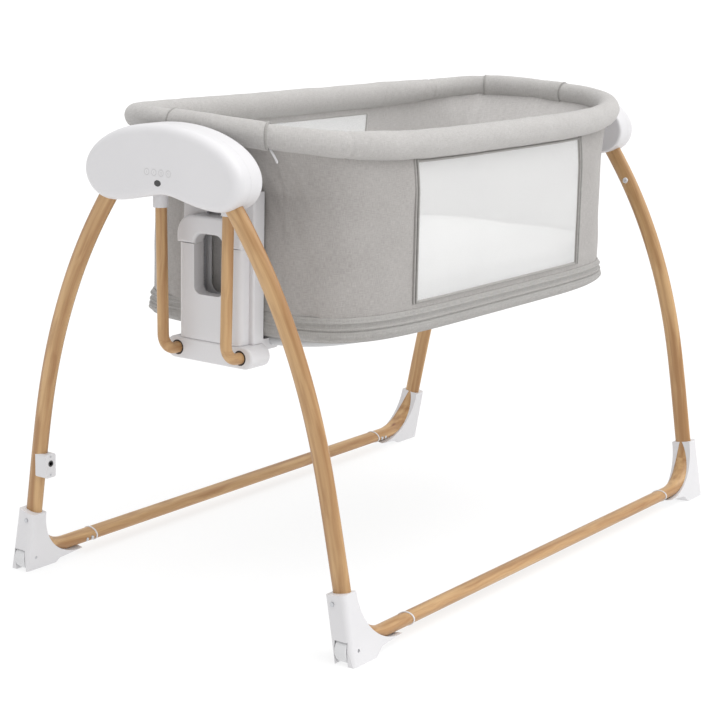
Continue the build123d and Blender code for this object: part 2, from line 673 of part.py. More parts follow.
def motor_unit():
    save("control_board", flip_end(control_board()))
    save("drive_coils", [flip_end(coil) for coil in drive_coils()])
    save("swing_magnets", [flip_end(magnet) for magnet in swing_magnets()])
    save("receiver_window", flip_end(receiver_window()))
    for number, side in enumerate(PAD_SIDES, start=1):
        save(f"control_pad_{number}", flip_end(control_pad(side)))
    save("power_socket_box", flip_end(socket_box(COLLAR["motor"])))
    save("power_inlet", flip_end(socket_inlet()))
    save("socket_screws", [flip_end(screw) for screw in socket_screws()])


def bassinet():
    save("rim_tube", rim_ring(RIM_TUBE_RADIUS))
    save("rim_padding", rim_padding())
    save("fabric_walls", fabric_walls())
    save("mesh_windows", [mesh_window(), flip_side(mesh_window())])
    save("base_tube", base_tube())
    save("tube_clamps", [c for clamp in tube_clamps() for c in (clamp, flip_end(clamp))])
    save("base_board", base_board())
    save("mattress", mattress())


main()
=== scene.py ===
import json
import math

import bmesh
import bpy
import numpy as np
from mathutils import Matrix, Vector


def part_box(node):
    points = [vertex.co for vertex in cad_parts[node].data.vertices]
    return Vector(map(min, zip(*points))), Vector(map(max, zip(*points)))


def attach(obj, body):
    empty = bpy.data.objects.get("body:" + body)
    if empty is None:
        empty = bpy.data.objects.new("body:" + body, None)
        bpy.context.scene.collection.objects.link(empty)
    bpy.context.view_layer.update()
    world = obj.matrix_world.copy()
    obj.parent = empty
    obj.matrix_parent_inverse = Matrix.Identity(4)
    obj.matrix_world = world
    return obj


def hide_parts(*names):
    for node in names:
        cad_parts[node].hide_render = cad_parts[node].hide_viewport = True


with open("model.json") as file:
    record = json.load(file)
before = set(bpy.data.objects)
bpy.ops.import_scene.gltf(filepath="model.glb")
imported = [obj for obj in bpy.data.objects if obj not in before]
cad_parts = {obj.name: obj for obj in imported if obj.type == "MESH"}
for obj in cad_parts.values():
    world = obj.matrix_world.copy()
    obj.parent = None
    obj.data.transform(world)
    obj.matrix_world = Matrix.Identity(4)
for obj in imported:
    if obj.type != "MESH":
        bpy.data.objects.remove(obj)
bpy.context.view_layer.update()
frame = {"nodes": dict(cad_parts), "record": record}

# Sizes shared with the model, in metres. X is the long axis, motor end at -X; Y is the swing direction.
RIM_LENGTH, RIM_WIDTH, RIM_POWER = 0.540, 0.244, 3.6
RIM_HEIGHT, RIM_RISE, RIM_TILT = 0.779, 0.022, 0.045
SLEEVE_RADIUS, SLEEVE_THINNING = 0.0240, 0.0042
SEAMS = (47.2, 227.5)                    # sewn joins of the side sleeves, in degrees round the rim
SLEEVES = ((9.3, 19.7), (189.3, 19.8))   # middle and half angle of the thicker end sleeves
HEMS = (29.1, -10.5, 209.1, 169.5)       # open ends of the thicker end sleeves
WALL_LENGTH, WALL_WIDTH, WALL_POWER = 0.455, 0.250, 5.0
WALL_LOW, SHOULDER, WALL_TOP = 0.486, 0.690, 0.775
TUCK = 0.004                             # how far below the rim ring's middle the wall cloth ends
FLARE = 1.3                              # how late the wall spreads out towards the rim
CORNER_SEAM = (0.447, 0.105)
WINDOW_LEFT, WINDOW_RIGHT, WINDOW_LOW, WINDOW_TOP = -0.268, 0.256, 0.511, 0.746
NET_MARGIN = 0.004                       # net caught under the binding
LEG_PLANE, LEG_LEAN, TUBE_THIN = 0.580, 0.032, 0.021
CAP_HEIGHT = 0.628
PAD_HEIGHT, PAD_PITCH = 0.733, 0.015
CLOTH, BAND_CLOTH_THICK, FLAP_CLOTH = 0.0022, 0.0012, 0.0011
FLAP_WIDE = 0.027
MATTRESS_VOXEL, MATTRESS_SWELL = 0.008, 0.006


# ---- shader arithmetic ----

class Wire:
    """A shader socket with arithmetic, so that a pattern is written as a formula."""

    def __init__(self, finish, socket):
        self.finish = finish
        self.socket = socket

    def sum_of(self, operation, *others):
        inputs = {index: value for index, value in enumerate(others)}
        return self.finish.node("ShaderNodeMath", {"operation": operation}, inputs)

    def __add__(self, other):
        return self.sum_of("ADD", self, other)

    def __radd__(self, other):
        return self.sum_of("ADD", other, self)

    def __sub__(self, other):
        return self.sum_of("SUBTRACT", self, other)

    def __rsub__(self, other):
        return self.sum_of("SUBTRACT", other, self)

    def __mul__(self, other):
        return self.sum_of("MULTIPLY", self, other)

    def __rmul__(self, other):
        return self.sum_of("MULTIPLY", other, self)

    def __truediv__(self, other):
        return self.sum_of("DIVIDE", self, other)

    def __rtruediv__(self, other):
        return self.sum_of("DIVIDE", other, self)

    def __pow__(self, other):
        return self.sum_of("POWER", self, other)

    def sine(self):
        return self.sum_of("SINE", self)

    def size(self):
        return self.sum_of("ABSOLUTE", self)

    def fraction(self):
        return self.sum_of("FRACT", self)

    def above(self, level):
        return self.sum_of("GREATER_THAN", self, level)

    def below(self, level):
        return self.sum_of("LESS_THAN", self, level)

    def limited(self):
        """The value kept between 0 and 1."""
        return self.finish.node("ShaderNodeClamp", {}, {0: self})

    def bump_line(self, centre, width):
        """1 on a line at centre, falling to 0 at width from it."""
        return (1 - (self - centre).size() / width).limited()


class Finish:
    """One material: a Principled surface and the nodes that feed it."""

    def __init__(self, name, colour, roughness, **constants):
        self.material = bpy.data.materials.new(name)
        self.material.use_nodes = True
        self.tree = self.material.node_tree
        self.tree.nodes.clear()
        self.surface = self.tree.nodes.new("ShaderNodeBsdfPrincipled")
        output = self.tree.nodes.new("ShaderNodeOutputMaterial")
        self.tree.links.new(self.surface.outputs[0], output.inputs[0])
        self.feed("Base Color", (*colour, 1.0))
        self.feed("Roughness", roughness)
        for key, value in constants.items():
            self.feed(key.replace("_", " ").title().replace("Ior", "IOR"), value)

    def put(self, socket, value):
        if isinstance(value, Wire):
            self.tree.links.new(value.socket, socket)
        else:
            socket.default_value = value

    def node(self, kind, settings=None, inputs=None, output=0):
        """A node of a type, its settings set first, then the values or links of its sockets."""
        node = self.tree.nodes.new(kind)
        for key, value in (settings or {}).items():
            setattr(node, key, value)
        for key, value in (inputs or {}).items():
            self.put(node.inputs[key], value)
        return Wire(self, node.outputs[output])

    def feed(self, socket, value):
        self.put(self.surface.inputs[socket], value)

    def place(self):
        """Object coordinates, which are metres in the object's own frame."""
        return self.node("ShaderNodeTexCoord", output="Object")

    def cloth_map(self):
        """The piece's own map in metres: along the cloth and across it."""
        return self.node("ShaderNodeUVMap", {"uv_map": "cloth"})

    def split(self, vector):
        node = self.tree.nodes.new("ShaderNodeSeparateXYZ")
        self.put(node.inputs[0], vector)
        return [Wire(self, output) for output in node.outputs]

    def joined(self, x, y, z):
        return self.node("ShaderNodeCombineXYZ", {}, {0: x, 1: y, 2: z})

    def noise(self, vector, scale, detail=2.0, roughness=0.5):
        values = {"Vector": vector, "Scale": scale, "Detail": detail, "Roughness": roughness}
        return self.node("ShaderNodeTexNoise", {}, values)

    def mix(self, factor, first, second):
        """Colour mix from first to second."""
        pair = [value if isinstance(value, Wire) else (*value, 1.0) for value in (first, second)]
        return self.node("ShaderNodeMix", {"data_type": "RGBA"}, {0: factor, 6: pair[0], 7: pair[1]}, 2)

    def relief(self, height, distance, strength=1.0):
        """Bump from a height of 0 to 1 that stands distance metres deep."""
        feeds = {"Height": height, "Distance": distance, "Strength": strength}
        normal = self.node("ShaderNodeBump", {}, feeds)
        self.feed("Normal", normal)


def leg_side(height):
    """Distance of a bowed leg's middle from the middle plane, for a number or a shader value."""
    bow = height - 0.45
    return 0.256 - bow * (0.367 + bow * (0.591 + bow * 0.494))


def linen(name, light, dark, body=0.5, seam_rows=()):
    """Melange linen: slubs of light and dark yarn both ways, a plain weave in relief, and stitched rows sunk
    into the cloth, darkened along each seam with painted shade.
    """
    cloth = Finish(name, light, 0.9, sheen_weight=0.25, sheen_roughness=0.5, specular_ior_level=0.2)
    along, across, _ = cloth.split(cloth.cloth_map())
    warp = cloth.noise(cloth.joined(along * 1100, across * 95, 0.0), 1.0, 3.0, 0.6)
    weft = cloth.noise(cloth.joined(along * 95, across * 1100, 7.0), 1.0, 3.0, 0.6)
    cloud = cloth.noise(cloth.joined(along * 14, across * 14, 3.0), 1.0, 2.0)
    yarn = ((warp + weft) * 0.5 - 0.5) * 2.6 + (cloud - 0.5) * 0.35 + body
    colour = cloth.mix(yarn.limited(), dark, light)
    pitch = 2 * math.pi / 0.0011
    over = (along * pitch).sine() * (across * pitch).sine() * 0.5 + 0.5
    height = over * 0.5 + (warp + weft) * 0.5
    for row in seam_rows:
        seam_dip_and_shade = across.bump_line(row, 0.0016)
        stitch = across.bump_line(row, 0.0009) * (along / 0.0042).fraction().below(0.72)
        colour = cloth.mix(stitch * 0.55, colour, light)
        # painted shade: the sunk seam line is darkened towards 0.6 of the dark yarn colour
        colour = cloth.mix(seam_dip_and_shade * 0.25, colour, tuple(0.6 * c for c in dark))
        height = height - seam_dip_and_shade * 1.2 + stitch * 0.8
    cloth.feed("Base Color", colour)
    cloth.relief(height, 0.00045, 0.6)
    return cloth.material


def oak_print(name, hanging=False):
    """Printed wood film on tube: long grain that follows each tube, pores, darker lines and rare knots.

    The grain runs along the stand's bowed legs and floor rails, or along the hanging rods."""
    film = Finish(name, (0.5, 0.29, 0.13), 0.42, coat_weight=0.15, coat_roughness=0.3)
    x, y, z = film.split(film.place())
    if hanging:
        upright_side, upright_out, turn_height, low_height, low_side = 0.069, 0.545, 0.446, 0.4275, 0.0665
    else:
        upright_side = leg_side(z)
        upright_out = LEG_PLANE + z * LEG_LEAN
        turn_height, low_height, low_side = 0.080, 0.026, 0.350
    on_leg = z.above(turn_height)
    rest = 1 - on_leg
    across_one = (x.size() - upright_out) * on_leg + (z - low_height) * rest
    across_two = (y.size() - upright_side) * on_leg + (y.size() - low_side) * rest
    along = z * on_leg + x * rest + y.above(0.0) * 3.1 + x.above(0.0) * 1.7 * on_leg
    waver = film.noise(film.joined(along * 5, across_one * 8, across_two * 8), 1.0, 2.0)
    grain = film.noise(film.joined(along * 6, across_one * 420 + waver * 3, across_two * 420), 1.0, 4.0, 0.6)
    figure = film.noise(film.joined(along * 2.4, across_one * 90 + waver * 4, across_two * 90), 1.0, 2.0)
    pores = film.noise(film.joined(along * 60, across_one * 1500, across_two * 1500), 1.0, 2.0)
    tone = film.mix(((figure - 0.34) * 3.0).limited(), (0.365, 0.190, 0.074), (0.575, 0.362, 0.172))
    tone = film.mix(((grain - 0.56) * 4.0).limited() * 0.45, tone, (0.270, 0.130, 0.050))
    tone = film.mix(((pores - 0.60) * 5.0).limited() * 0.30, tone, (0.20, 0.10, 0.045))
    cells = film.node(
        "ShaderNodeTexVoronoi",
        {},
        {"Vector": film.joined(along * 3.1, across_one * 30, across_two * 30), "Scale": 1.0},
    )
    knot = ((0.115 - cells) * 12.0).limited()
    tone = film.mix(knot * 0.85, tone, (0.17, 0.052, 0.022))
    film.feed("Base Color", tone)
    film.feed("Roughness", 0.38 + grain * 0.14)
    film.relief(grain * 0.6 + pores * 0.4, 0.00012, 0.5)
    return film.material


def moulded(name, colour, roughness, texture=0.00008, scale=900.0, **constants):
    """Moulded plastic: fine spark-eroded grain, faint flow clouds and a little dust in the tone."""
    plastic = Finish(name, colour, roughness, **constants)
    place = plastic.place()
    grain = plastic.noise(place, scale, 2.0)
    cloud = plastic.noise(place, 9.0, 3.0)
    tone = plastic.mix(((cloud - 0.4) * 2.5).limited(), tuple(0.955 * c for c in colour), colour)
    plastic.feed("Base Color", tone)
    plastic.feed("Roughness", roughness - 0.06 + cloud * 0.08 + grain * 0.06)
    plastic.relief(grain, texture, 0.5)
    return plastic


def pad_print():
    """Push pads: satin rubber with a fine printed ring and a plain short mark inside it."""
    pad = moulded("pad_silicone", (0.73, 0.72, 0.73), 0.45)
    x, y, z = pad.split(pad.place())
    cell = ((y + 2 * PAD_PITCH) / PAD_PITCH).fraction()
    side = (cell - 0.5) * PAD_PITCH
    rise = z - PAD_HEIGHT
    radius = (side * side + rise * rise) ** 0.5
    ring = radius.bump_line(0.0046, 0.0005)
    second = y.above(0.0)
    bar = side.size().below(0.0004) * rise.size().below(0.0017)
    arc = radius.bump_line(0.0018, 0.0005)
    mark = bar * second + arc * (1 - second)
    ink = ((ring + mark) * 1.4).limited()
    pad.feed("Base Color", pad.mix(ink * 0.75, (0.700, 0.692, 0.703), (0.42, 0.41, 0.41)))
    return pad.material


def metal(name, colour, roughness):
    """Plated metal with fine brush lines along X and a soft tarnish."""
    plate = Finish(name, colour, roughness, metallic=1.0)
    x, y, z = plate.split(plate.place())
    lines = plate.noise(plate.joined(x * 60, y * 2500, z * 2500), 1.0, 2.0)
    plate.feed("Roughness", roughness + (lines - 0.5) * 0.25)
    plate.feed("Base Color", plate.mix(lines, tuple(0.8 * c for c in colour), colour))
    plate.relief(lines, 0.00004, 0.5)
    return plate.material


def knit_mesh():
    """Warp-knit window mesh: small round holes in staggered rows, see-through between white yarns."""
    mesh = Finish("window_mesh", (0.78, 0.78, 0.78), 0.8, sheen_weight=0.1)
    along, across, _ = mesh.split(mesh.cloth_map())
    pitch = 0.0012
    row = across / pitch
    shift = (row * 0.5).fraction().above(0.5) * 0.5
    u = (along / pitch + shift).fraction() - 0.5
    v = row.fraction() - 0.5
    hole = ((0.40 - (u * u + v * v) ** 0.5) * 9.0).limited()
    cloud = mesh.noise(mesh.joined(along * 9, across * 9, 0.0), 1.0, 2.0)
    mesh.feed("Base Color", mesh.mix(cloud, (0.735, 0.735, 0.735), (0.79, 0.79, 0.785)))
    mesh.feed("Alpha", 1 - hole * 0.5)
    mesh.relief(1 - hole, 0.0003, 0.5)
    return mesh.material


def quilted_cover():
    """Mattress cover: soft knit with a lozenge quilt sewn into it, darkened along the quilt lines with
    painted shade.
    """
    cover = Finish("mattress_cover", (0.88, 0.88, 0.87), 0.9, sheen_weight=0.3)
    x, y, z = cover.split(cover.place())
    one = ((x + y) / 0.060).fraction() - 0.5
    two = ((x - y) / 0.060).fraction() - 0.5
    sewn = (one.size().bump_line(0.5, 0.06) + two.size().bump_line(0.5, 0.06)).limited()
    loops = cover.noise(cover.joined(x * 700, y * 1100, z * 900), 1.0, 2.0)
    # painted shade: the cover is darkened along the sunk quilt lines; the loops add random knit tone
    shade = sewn * 0.5 + (loops - 0.5) * 0.3
    cover.feed("Base Color", cover.mix(shade, (0.88, 0.88, 0.87), (0.74, 0.74, 0.73)))
    cover.relief(loops * 0.25 - sewn, 0.0014, 0.7)
    return cover.material


def board_finish():
    """Grey lining cloth pasted on fibreboard, with a faint fibre fleck."""
    board = Finish("board", (0.46, 0.45, 0.44), 0.88)
    x, y, z = board.split(board.place())
    fleck = board.noise(board.joined(x * 180, y * 900, z * 900), 1.0, 3.0)
    board.feed("Base Color", board.mix(fleck, (0.36, 0.35, 0.34), (0.54, 0.53, 0.52)))
    board.relief(fleck, 0.0003, 0.5)
    return board.material


def board_lacquer():
    """Circuit board lacquer with copper tracks under it."""
    lacquer = Finish("circuit_board", (0.02, 0.16, 0.06), 0.35)
    x, y, z = lacquer.split(lacquer.place())
    tracks = ((y / 0.004).fraction().below(0.22) + (z / 0.006).fraction().below(0.12)).limited()
    lacquer.feed("Base Color", lacquer.mix(tracks * 0.6, (0.02, 0.14, 0.05), (0.05, 0.27, 0.10)))
    lacquer.relief(tracks, 0.0001, 0.6)
    return lacquer.material


def coil_winding():
    """Enamelled wire laid in even turns round each coil, with a painted highlight on each turn's crown and
    painted shade between turns.
    """
    wire = Finish("copper_wire", (0.62, 0.26, 0.10), 0.35, metallic=0.85)
    x, y, z = wire.split(wire.place())
    turns = (x * (2 * math.pi / 0.0008)).sine() * 0.5 + 0.5
    # painted light and shade: colour runs from dark between wire turns to light on each turn's crown
    wire.feed("Base Color", wire.mix(turns, (0.40, 0.14, 0.05), (0.66, 0.29, 0.12)))
    wire.relief(turns, 0.0003, 0.8)
    return wire.material


PLASTIC = moulded("white_plastic", (0.715, 0.707, 0.720), 0.36).material
OAK = oak_print("oak_print")
ROD_OAK = oak_print("rod_oak_print", hanging=True)
WALL_CLOTH = linen("wall_cloth", (0.480, 0.460, 0.445), (0.300, 0.284, 0.272))
RIM_CLOTH = linen("rim_cloth", (0.560, 0.545, 0.532), (0.370, 0.357, 0.345), 0.55)
LINING = linen("wall_lining", (0.620, 0.602, 0.590), (0.430, 0.414, 0.402))
BAND_CLOTH = linen("band_cloth", (0.460, 0.448, 0.432), (0.285, 0.275, 0.263), seam_rows=(0.0685, 0.050))
BINDING = linen("binding_cloth", (0.430, 0.418, 0.402), (0.270, 0.260, 0.248), seam_rows=(0.004,))
KNIT = knit_mesh()
FINISHES = {
    "oak_print": OAK,
    "white_plastic": PLASTIC,
    "wheel_plastic": moulded("wheel_plastic", (0.70, 0.70, 0.71), 0.3).material,
    "pad_silicone": pad_print(),
    "steel": metal("steel", (0.62, 0.63, 0.65), 0.3),
    "black_plastic": moulded("black_plastic", (0.012, 0.012, 0.014), 0.12, coat_weight=0.6).material,
    "grommet_rubber": moulded("grommet_rubber", (0.05, 0.038, 0.035), 0.7, 0.0002).material,
    "circuit_board": board_lacquer(),
    "copper_wire": coil_winding(),
    "grey_tube": moulded("grey_tube", (0.60, 0.61, 0.62), 0.4).material,
    "board": board_finish(),
}


def node_slots():
    """The record's material slot of each CAD node."""
    return {part["node"]: part["material_slot"] for part in frame["record"]["subparts"]}


for node_name, slot_name in node_slots().items():
    if slot_name in FINISHES:
        materials = frame["nodes"][node_name].data.materials
        materials.clear()
        materials.append(ROD_OAK if node_name.startswith("swing_rods") else FINISHES[slot_name])


# ---- grids and rings ----

def grid_piece(name, points, cloth, material, closed=True, double=0.0):
    """A piece from a grid of points [row, column], with its map in metres.

    Each quad joins a row to the next one up; a closed grid also joins its last column to its first.
    double is the thickness given inwards."""
    rows, columns = points.shape[:2]
    count = columns if closed else columns - 1
    i, j = np.meshgrid(np.arange(rows - 1), np.arange(count), indexing="ij")
    after = (j + 1) % columns
    near, far = i * columns, (i + 1) * columns
    corners = np.stack([near + j, near + after, far + after, far + j])
    faces = corners.reshape(4, -1).T
    wide = np.concatenate([cloth, cloth[:, :1] + [[[cloth[0, -1, 0] + 0.004 - cloth[0, 0, 0], 0]]]], axis=1)
    uv_at = np.stack([wide[i, j], wide[i, j + 1], wide[i + 1, j + 1], wide[i + 1, j]], axis=2)
    return mesh_piece(name, points.reshape(-1, 3), faces, uv_at.reshape(-1, 2), material, double)


def mesh_piece(name, points, faces, uv_at, material, double=0.0):
    """A mesh object from arrays of points, quads and one map value per face corner."""
    mesh = bpy.data.meshes.new(name)
    mesh.from_pydata(points, [], faces)
    layer = mesh.uv_layers.new(name="cloth")
    layer.data.foreach_set("uv", np.asarray(uv_at, np.float32).ravel())
    mesh.polygons.foreach_set("use_smooth", np.ones(len(faces), bool))
    mesh.materials.append(material)
    mesh.update()
    piece = bpy.data.objects.new(name, mesh)
    bpy.context.scene.collection.objects.link(piece)
    if double:
        wall = piece.modifiers.new("thickness", "SOLIDIFY")
        wall.thickness = double
        wall.offset = -1.0
        wall.use_quality_normals = True
    return piece


def oval(length, width, power, turn):
    """Superellipse points at polar angles turn: reach = (|cos|^power + |sin|^power)^(-1/power)."""
    c, s = np.cos(turn), np.sin(turn)
    reach = (np.abs(c) ** power + np.abs(s) ** power) ** (-1 / power)
    return np.stack([length * reach * c, width * reach * s], axis=-1)


def even_turns(length, width, power, count):
    """Polar angles that step evenly along the superellipse, and the distance along it."""
    fine = np.linspace(0, 2 * np.pi, 20001)
    walk = oval(length, width, power, fine)
    along = np.concatenate([[0], np.cumsum(np.linalg.norm(np.diff(walk, axis=0), axis=1))])
    steps = np.linspace(0, along[-1], count, endpoint=False)
    return np.interp(steps, along, fine), steps


def outward(ring):
    """Unit normals in the plane of a closed anticlockwise ring of XY points."""
    ahead = np.roll(ring, -1, axis=0) - np.roll(ring, 1, axis=0)
    ahead /= np.linalg.norm(ahead, axis=1, keepdims=True)
    return np.stack([ahead[:, 1], -ahead[:, 0]], axis=1)


def rim_rise(x, y):
    """Height of the rim ring: it climbs to both ends, and sits a little higher at the back than the front."""
    return RIM_HEIGHT + RIM_RISE * (np.abs(x) / RIM_LENGTH) ** 4 + RIM_TILT * y


def sleeve_radius(x):
    """The sleeve is full along the sides and pulled thin round the ends."""
    return SLEEVE_RADIUS - SLEEVE_THINNING * step_up(np.abs(x), 0.40, 0.07)


def ripple(along, across, count, shortest, longest, seed):
    """Sum of count plane waves of random heading with lengths from shortest to longest, about -1 to 1."""
    rng = np.random.default_rng(seed)
    total = np.zeros(np.broadcast(along, across).shape)
    for length, heading, phase in zip(
        rng.uniform(shortest, longest, count), rng.uniform(0, np.pi, count), rng.uniform(0, 2 * np.pi, count)
    ):
        total += np.sin(2 * np.pi / length * (along * np.cos(heading) + across * np.sin(heading)) + phase)
    return total / math.sqrt(count)


def hump(value, centre, width):
    """Bell curve: 1 at centre, falling with width."""
    return np.exp(-(((value - centre) / width) ** 2))


def step_up(value, edge, width):
    """Smooth step from 0 to 1 across edge."""
    return 0.5 + 0.5 * np.tanh((value - edge) / width)


def turn_gap(turn, centre):
    """Signed angle from centre to turn, in degrees, from -180 to 180."""
    return (np.degrees(turn) - centre + 180) % 360 - 180


def run_outward(run):
    """Unit normals, in the plane, of an open anticlockwise run of XY points."""
    ahead = np.gradient(run, axis=0)
    ahead /= np.linalg.norm(ahead, axis=1, keepdims=True)
    return np.stack([ahead[:, 1], -ahead[:, 0]], axis=1)


def round_rim(ring, normal, radius, angle, spin=1):
    """Points at a radius round the rim ring: angle 0 is outwards, a quarter turn is up.

    spin -1 turns the ring half a turn about the upright axis, for the far end."""
    reach, lift = radius * np.cos(angle), radius * np.sin(angle)
    return np.stack(
        [
            spin * (ring[:, 0] + normal[:, 0] * reach),
            spin * (ring[:, 1] + normal[:, 1] * reach),
            rim_rise(ring[:, 0], spin * ring[:, 1]) + lift,
        ], axis=-1,
    )


def stacked(*axes):
    """One array of points from one array per axis, spread to a common shape first."""
    return np.stack(np.broadcast_arrays(*axes), axis=-1)


def points_of(mesh):
    """Places of a mesh's points as rows of X, Y and Z."""
    places = np.empty(3 * len(mesh.vertices), np.float32)
    mesh.vertices.foreach_get("co", places)
    return places.reshape(-1, 3).astype(float)


# ---- rim sleeve ----

def rim_sleeve():
    """Foam tube in a cloth sleeve: circles carried along the rim ring.

    radius = sleeve + end-sleeve step - grooves at the seams + puckers that grow near the seams."""
    turn, along = even_turns(RIM_LENGTH, RIM_WIDTH, RIM_POWER, 900)
    ring = oval(RIM_LENGTH, RIM_WIDTH, RIM_POWER, turn)
    normal = outward(ring)
    round_it = np.linspace(0, 2 * np.pi, 44, endpoint=False)[:, None]
    radius = sleeve_radius(ring[:, 0])[None, :] + np.zeros((44, 900))
    fold = np.zeros(900)
    for middle, half in SLEEVES:
        gap = np.abs(turn_gap(turn, middle)) - half
        radius += 0.0016 * (1 - step_up(gap, 0, 0.25))
        fold += hump(gap, 0.0, 2.0)
    for seam in SEAMS:
        gap = turn_gap(turn, seam)
        radius -= 0.0016 * hump(gap, 0, 0.28)
        fold += 0.7 * hump(gap, 0, 3.0)
    corner = 1 - np.abs(np.cos(2 * turn)) ** 3
    girth = round_it * SLEEVE_RADIUS
    soft = ripple(along[None, :], girth, 9, 0.06, 0.16, 3)
    crease = ripple(along[None, :], girth * 0.4, 9, 0.010, 0.028, 5)
    inner = step_up(np.cos(round_it + np.pi), 0.1, 0.5)
    radius += 0.00045 * soft + (0.00035 * fold + 0.00022 * corner * inner) * crease
    under = hump((np.degrees(round_it) - 268 + 180) % 360 - 180, 0, 5)
    radius += 0.0016 * under - 0.0010 * hump((np.degrees(round_it) - 284 + 180) % 360 - 180, 0, 4)
    points = round_rim(ring, normal, radius, round_it)
    cloth = stacked(along[None, :], girth)
    loop = np.concatenate([points, points[:1]])
    cloth = np.concatenate([cloth, cloth[:1] + [[[0, 2 * math.pi * SLEEVE_RADIUS]]]])
    piece = grid_piece("rim_sleeve", loop, cloth, RIM_CLOTH)
    merge_doubles(piece)
    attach(piece, "bassinet")
    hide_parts("rim_padding")


def merge_doubles(piece):
    """Joins points that lie on each other, so that a seam or a pole is closed."""
    shell = bmesh.new()
    shell.from_mesh(piece.data)
    bmesh.ops.remove_doubles(shell, verts=shell.verts, dist=1e-6)
    shell.to_mesh(piece.data)
    shell.free()


def sleeve_edges():
    """Turned hem at the open end of each thick end sleeve: a small roll round the tube."""
    for number, degrees in enumerate(HEMS, start=1):
        centre = math.radians(degrees)
        span = np.linspace(-1, 1, 9)
        turns = centre + math.radians(0.42) * span
        ring = oval(RIM_LENGTH, RIM_WIDTH, RIM_POWER, turns)
        round_it = np.linspace(0, 2 * np.pi, 49)[:, None]
        bulge = np.sqrt(np.clip(1 - span ** 2, 0, 1))
        radius = sleeve_radius(ring[:, 0])[None, :] + 0.0006 + 0.0020 * bulge[None, :]
        points = round_rim(ring, run_outward(ring), radius, round_it)
        cloth = stacked(span * 0.004 + 0.004, round_it * SLEEVE_RADIUS)
        piece = grid_piece(f"sleeve_hem_{number}", points, cloth, BINDING, closed=False)
        merge_doubles(piece)
        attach(piece, "bassinet")


# ---- cloth walls ----

def wall_columns(count=640):
    """Polar angles and distance along the wall ring, with columns exactly on the window edges."""
    turn, along = even_turns(WALL_LENGTH, WALL_WIDTH, WALL_POWER, count)
    for side in (1, -1):
        for edge in (WINDOW_LEFT, WINDOW_RIGHT):
            reach_y = side * WALL_WIDTH * (1 - abs(edge / WALL_LENGTH) ** WALL_POWER) ** (1 / WALL_POWER)
            exact = math.atan2(reach_y / WALL_WIDTH, edge / WALL_LENGTH) % (2 * math.pi)
            near = int(np.argmin(np.abs(turn - exact)))
            turn[near] = exact
    return turn, along


def wall_rows():
    """Heights of the wall's rows: fine near the window edges and up into the rim."""
    return np.unique(np.concatenate([
        np.linspace(WALL_LOW, WINDOW_LOW, 8),
        np.linspace(WINDOW_LOW, SHOULDER, 46),
        np.linspace(SHOULDER, WINDOW_TOP, 16),
        np.linspace(WINDOW_TOP, WALL_TOP, 9),
    ]))


def rim_partner(low):
    """Rim points that wall points rise to: straight up along the sides, spreading out towards the ends.

    The shift along X grows as the 1.5th power of the way from x = 0.27 to the corner."""
    fine = np.linspace(0, np.pi / 2, 4001)
    wall, rim = oval(WALL_LENGTH, WALL_WIDTH, WALL_POWER, fine), oval(RIM_LENGTH, RIM_WIDTH, RIM_POWER, fine)
    walk = []
    for ring in (wall, rim):
        steps = np.linalg.norm(np.diff(ring[::-1], axis=0), axis=1)
        walk.append(np.concatenate([[0], np.cumsum(steps)]))
    quarter = np.arctan2(np.abs(low[..., 1]) / WALL_WIDTH, np.abs(low[..., 0]) / WALL_LENGTH)
    gone = np.interp(np.pi / 2 - quarter, np.pi / 2 - fine[::-1], walk[0])
    late = np.clip((gone - 0.27) / (walk[0][-1] - 0.27), 0, 1)
    goal = gone + (walk[1][-1] - walk[0][-1]) * late ** 1.5
    turn = np.pi / 2 - np.interp(goal, walk[1], np.pi / 2 - fine[::-1])
    return oval(RIM_LENGTH, RIM_WIDTH, RIM_POWER, turn) * np.sign(low + 1e-12)


def wall_shape(turn, rows):
    """The bassinet's outer surface: a superellipse that flares from the shoulder up to the rim ring.

    Above the shoulder the place goes from wall ring to rim ring as share to the power FLARE."""
    low = oval(WALL_LENGTH, WALL_WIDTH, WALL_POWER, turn)
    high = rim_partner(low)
    share = np.clip((rows - SHOULDER) / (WALL_TOP - SHOULDER), 0, 1)[:, None]
    blend = (share ** FLARE)[:, :, None]
    place = low[None] * (1 - blend) + high[None] * blend
    top = rim_rise(high[:, 0], high[:, 1]) - TUCK
    height = np.where(rows[:, None] > SHOULDER, SHOULDER + share * (top - SHOULDER)[None, :], rows[:, None])
    return place, height


